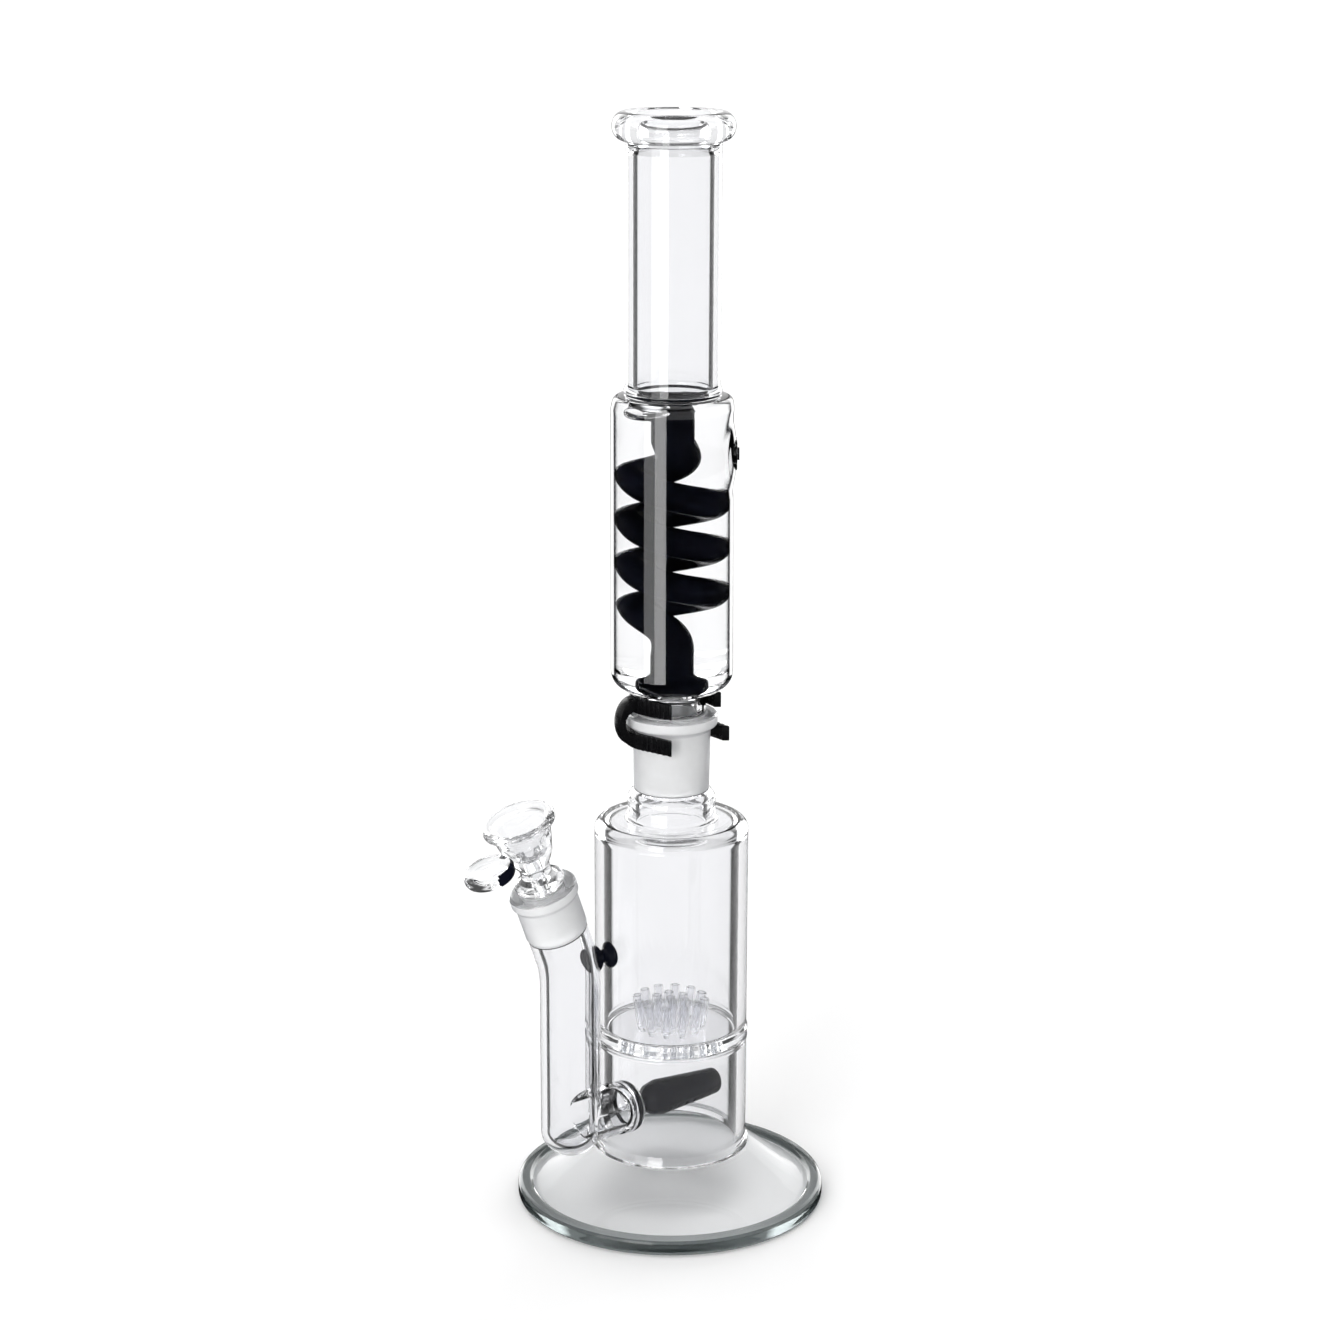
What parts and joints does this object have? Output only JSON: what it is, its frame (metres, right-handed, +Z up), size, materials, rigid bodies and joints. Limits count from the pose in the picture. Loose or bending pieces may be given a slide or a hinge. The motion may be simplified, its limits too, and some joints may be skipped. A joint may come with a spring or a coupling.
{
  "type": "glass water pipe",
  "caption": "Upright glass water pipe with round foot, leaning side arm and bowl, clipped-on coil condenser and straight mouthpiece.",
  "frame": {"origin": "centre of the foot's flat underside, on the main axis", "axes": "+Z up the main axis, side arm and bowl towards -X"},
  "size_m": [0.1696, 0.133, 0.4683],
  "materials": {
    "clear_glass": "polished",
    "ground_glass": "matte",
    "black_glass": "polished",
    "glycerin": "glossy",
    "black_plastic": "satin",
    "black_rubber": "matte"
  },
  "bodies": {
    "base": {"foot": "clear_glass", "lower_chamber": "clear_glass", "perc_disc": "clear_glass", "perc_pillar_01": "clear_glass", "perc_pillar_02": "clear_glass", "perc_pillar_03": "clear_glass", "perc_pillar_04": "clear_glass", "perc_pillar_05": "clear_glass", "perc_pillar_06": "clear_glass", "perc_pillar_07": "clear_glass", "perc_pillar_08": "clear_glass", "perc_pillar_09": "clear_glass", "perc_pillar_10": "clear_glass", "perc_pillar_11": "clear_glass", "perc_pillar_12": "clear_glass", "perc_pillar_13": "clear_glass", "perc_pillar_14": "clear_glass", "perc_pillar_15": "clear_glass", "perc_pillar_16": "clear_glass", "perc_pillar_17": "clear_glass", "perc_pillar_18": "clear_glass", "perc_pillar_19": "clear_glass", "upper_chamber": "clear_glass", "chamber_neck": "clear_glass", "base_joint_socket": "ground_glass", "side_arm": "clear_glass", "arm_socket": "ground_glass", "cross_tube": "clear_glass", "inline_diffuser": "black_glass", "bridge_strut": "black_glass"},
    "condenser": {"condenser_joint_cone": "ground_glass", "condenser_neck": "clear_glass", "condenser_jacket": "clear_glass", "coil_tube": "black_glass", "coil_inlet": "black_glass", "coil_outlet": "black_glass", "coolant_fill": "glycerin", "fill_port": "clear_glass", "mouthpiece_tube": "clear_glass", "mouth_lip": "clear_glass"},
    "bowl": {"bowl_cup": "clear_glass", "bowl_neck": "clear_glass", "bowl_cone": "ground_glass", "bowl_handle": "clear_glass"},
    "clip": {"joint_clip": "black_plastic"},
    "plug": {"fill_plug": "black_rubber"}
  },
  "joints": [
    {"name": "condenser_lift", "type": "slide", "parent": "base", "child": "condenser", "axis": [0, 0, 1], "range_m": [0, 0.06]},
    {"name": "bowl_pull", "type": "slide", "parent": "base", "child": "bowl", "axis": [-0.3469, 0, 0.9379], "range_m": [0, 0.045]},
    {"name": "clip_swivel", "type": "hinge", "parent": "base", "child": "clip", "pos_m": [0, 0, 0.2156], "axis": [0, 0, 1], "continuous": true},
    {"name": "plug_pull", "type": "slide", "parent": "condenser", "child": "plug", "axis": [0.7986, -0.6018, 0], "range_m": [0, 0.012]}
  ]
}
